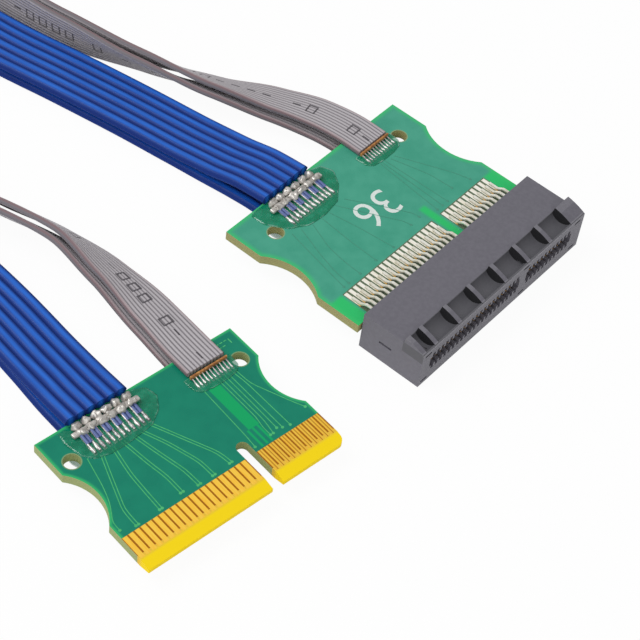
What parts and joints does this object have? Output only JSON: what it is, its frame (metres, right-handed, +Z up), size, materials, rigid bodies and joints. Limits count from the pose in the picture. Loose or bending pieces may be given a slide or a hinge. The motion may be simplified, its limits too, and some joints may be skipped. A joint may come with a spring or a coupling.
{
  "type": "card slot riser cable",
  "caption": "Flexible riser for an expansion card slot: an edge-card plug board and a moulded socket board joined by blue and grey flat cables.",
  "frame": {"origin": "middle of the socket housing's underside", "axes": "+X along the socket's contact row, +Y from the socket's mouth towards the cables, +Z up"},
  "size_m": [0.0896, 0.1608, 0.0108],
  "materials": {
    "board_mask": "green solder mask on glass-epoxy board",
    "housing_plastic": "moulded, lightly worn satin",
    "blue_jacket": "satin extruded jacket",
    "grey_jacket": "matt extruded jacket",
    "tinned_metal": "tinned, lightly dulled",
    "clear_potting": "clear cured resin"
  },
  "bodies": {
    "root": {"plug_board": "board_mask", "socket_board": "board_mask", "socket_housing": "housing_plastic", "plug_twin_wires_top": "tinned_metal", "plug_flat_wires_top": "tinned_metal", "plug_twin_potting_top": "clear_potting", "plug_flat_potting_top": "clear_potting", "plug_twin_wires_bottom": "tinned_metal", "plug_flat_wires_bottom": "tinned_metal", "plug_twin_potting_bottom": "clear_potting", "plug_flat_potting_bottom": "clear_potting", "socket_twin_wires_top": "tinned_metal", "socket_flat_wires_top": "tinned_metal", "socket_twin_potting_top": "clear_potting", "socket_flat_potting_top": "clear_potting", "socket_twin_wires_bottom": "tinned_metal", "socket_flat_wires_bottom": "tinned_metal", "socket_twin_potting_bottom": "clear_potting", "socket_flat_potting_bottom": "clear_potting", "twin_ribbon_top": "blue_jacket", "flat_ribbon_top": "grey_jacket", "twin_ribbon_bottom": "blue_jacket", "flat_ribbon_bottom": "grey_jacket"}
  },
  "joints": []
}
